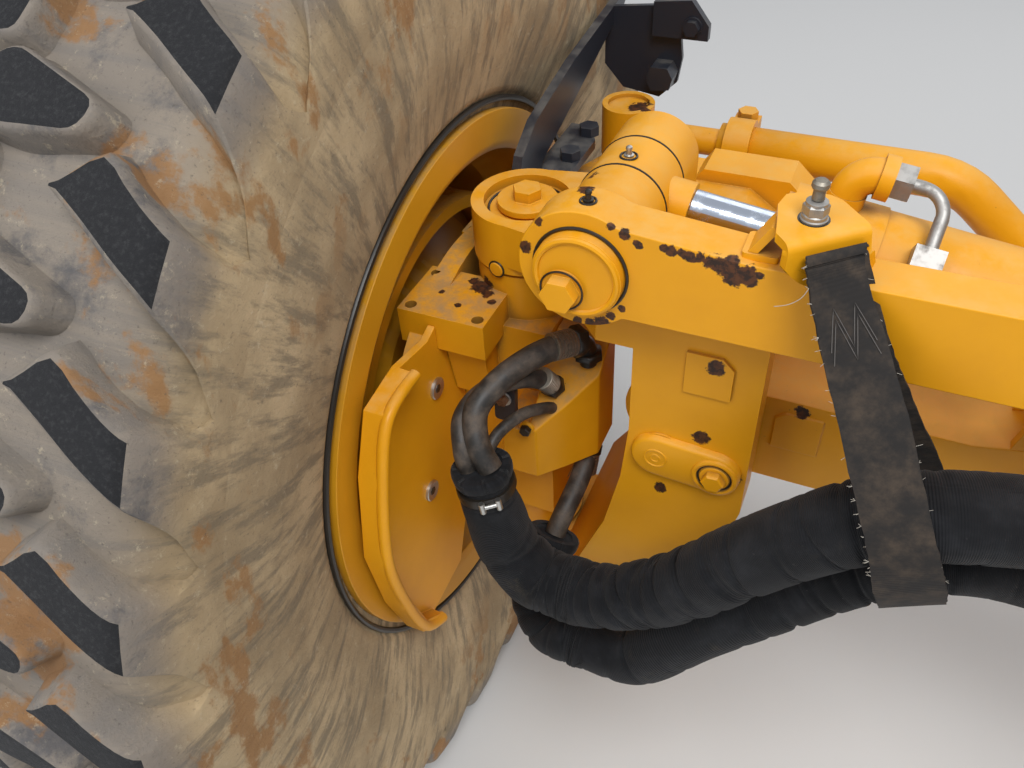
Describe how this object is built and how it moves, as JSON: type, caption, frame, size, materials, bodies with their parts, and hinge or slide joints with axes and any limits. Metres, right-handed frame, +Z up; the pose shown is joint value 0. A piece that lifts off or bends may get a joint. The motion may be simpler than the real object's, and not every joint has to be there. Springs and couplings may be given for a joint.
{
  "type": "front axle of a motor grader",
  "caption": "Front axle of an all-wheel-drive motor grader: leaning wheels on yokes, lean bar, lean cylinder, tie rod, fenders and sleeved hoses.",
  "frame": {"origin": "middle of the bore that the axle pivots on, halfway between the wheels", "axes": "+X to the machine's left along the axle, +Y to the machine's rear, +Z up"},
  "size_m": [2.508, 1.3498, 1.417],
  "materials": {
    "yellow_paint": "satin",
    "black_paint": "satin",
    "tyre_rubber": "matte",
    "hose_rubber": "matte",
    "sleeve_cloth": "matte",
    "webbing": "matte",
    "rod_chrome": "gloss",
    "bare_steel": "satin"
  },
  "bodies": {
    "beam": {"axle_beam": "yellow_paint", "lean_foot": "yellow_paint", "hose_bulkhead": "yellow_paint", "lean_foot_pin": "yellow_paint", "upper_sleeve_right": "sleeve_cloth", "upper_sleeve_left": "sleeve_cloth", "lower_sleeve_right": "sleeve_cloth", "lower_sleeve_left": "sleeve_cloth"},
    "lean_bar": {"lean_bar": "yellow_paint", "strap_brackets": "yellow_paint", "straps": "webbing"},
    "tie_rod": {"tie_rod": "yellow_paint", "tie_ends": "yellow_paint"},
    "ball_stud": {"ball_stud_right": "bare_steel"},
    "lean_barrel": {"lean_cylinder_barrel": "yellow_paint", "lean_cylinder_pipe": "bare_steel"},
    "lean_rod": {"lean_cylinder_rod": "rod_chrome", "lean_rod_eye": "yellow_paint"},
    "yoke_right": {"yoke_right": "yellow_paint", "kingpins_right": "yellow_paint", "lean_pin_right": "yellow_paint", "bar_pin_right": "yellow_paint", "sleeve_ends_right": "sleeve_cloth"},
    "knuckle_right": {"knuckle_right": "yellow_paint", "motor_block_right": "yellow_paint", "hub_guard_right": "yellow_paint", "fender_bracket_right": "black_paint", "fender_right": "black_paint", "hoses_right": "hose_rubber"},
    "wheel_right": {"tyre_right": "tyre_rubber", "rim_right": "yellow_paint", "hub_right": "yellow_paint", "wheel_nuts_right": "yellow_paint"},
    "yoke_left": {"yoke_left": "yellow_paint", "kingpins_left": "yellow_paint", "lean_pin_left": "yellow_paint", "bar_pin_left": "yellow_paint", "sleeve_ends_left": "sleeve_cloth"},
    "knuckle_left": {"knuckle_left": "yellow_paint", "motor_block_left": "yellow_paint", "hub_guard_left": "yellow_paint", "fender_bracket_left": "black_paint", "fender_left": "black_paint", "hoses_left": "hose_rubber", "ball_stud_left": "bare_steel"},
    "wheel_left": {"tyre_left": "tyre_rubber", "rim_left": "yellow_paint", "hub_left": "yellow_paint", "wheel_nuts_left": "yellow_paint"}
  },
  "joints": [
    {"name": "lean", "type": "hinge", "parent": "beam", "child": "yoke_right", "pos_m": [-0.553, 0, 0], "axis": [0, 1, 0], "range_deg": [-18, 18], "deforming": ["upper_sleeve_right", "lower_sleeve_right", "sleeve_ends_right"]},
    {"name": "lean_left", "type": "hinge", "parent": "beam", "child": "yoke_left", "pos_m": [0.553, 0, 0], "axis": [0, 1, 0], "range_deg": [-18, 18], "deforming": ["upper_sleeve_left", "lower_sleeve_left", "sleeve_ends_left"]},
    {"name": "lean_bar_turn", "type": "hinge", "parent": "yoke_right", "child": "lean_bar", "pos_m": [-0.628, 0, 0.254], "axis": [0, 1, 0], "range_deg": [-17, 17]},
    {"name": "steer", "type": "hinge", "parent": "yoke_right", "child": "knuckle_right", "pos_m": [-0.767, 0, 0], "axis": [0, 0, 1], "range_deg": [-38, 38], "deforming": ["hoses_right"]},
    {"name": "steer_left", "type": "hinge", "parent": "yoke_left", "child": "knuckle_left", "pos_m": [0.767, 0, 0], "axis": [0, 0, 1], "range_deg": [-38, 38], "deforming": ["hoses_left"]},
    {"name": "stud_turn", "type": "hinge", "parent": "knuckle_right", "child": "ball_stud", "pos_m": [-0.745, 0.3, 0.133], "axis": [0, 0, 1], "range_deg": [-40, 40]},
    {"name": "tie_rod_turn", "type": "hinge", "parent": "ball_stud", "child": "tie_rod", "pos_m": [-0.745, 0.3, 0.133], "axis": [0, 1, 0], "range_deg": [-14, 14]},
    {"name": "lean_barrel_turn", "type": "hinge", "parent": "beam", "child": "lean_barrel", "pos_m": [-0.165, -0.055, 0.193], "axis": [0, 1, 0], "range_deg": [-5, 5]},
    {"name": "lean_rod_slide", "type": "slide", "parent": "lean_barrel", "child": "lean_rod", "axis": [-0.9914, 0, 0.1306], "range_m": [-0.078, 0.078]},
    {"name": "spin_right", "type": "hinge", "parent": "knuckle_right", "child": "wheel_right", "pos_m": [-1.04, 0, -0.105], "axis": [1, 0, 0], "continuous": true},
    {"name": "spin_left", "type": "hinge", "parent": "knuckle_left", "child": "wheel_left", "pos_m": [1.04, 0, -0.105], "axis": [1, 0, 0], "continuous": true}
  ],
  "couplings": [
    {"joint": "lean_left", "follows": "lean", "ratio": 1},
    {"joint": "lean_bar_turn", "follows": "lean", "ratio": -0.8819},
    {"joint": "tie_rod_turn", "follows": "lean", "ratio": -0.7438},
    {"joint": "lean_barrel_turn", "follows": "lean", "ratio": 0.2308},
    {"joint": "lean_rod_slide", "follows": "lean", "m_per_rad": -0.2417},
    {"joint": "steer_left", "follows": "steer", "ratio": 1},
    {"joint": "stud_turn", "follows": "steer", "ratio": -1.0254}
  ]
}
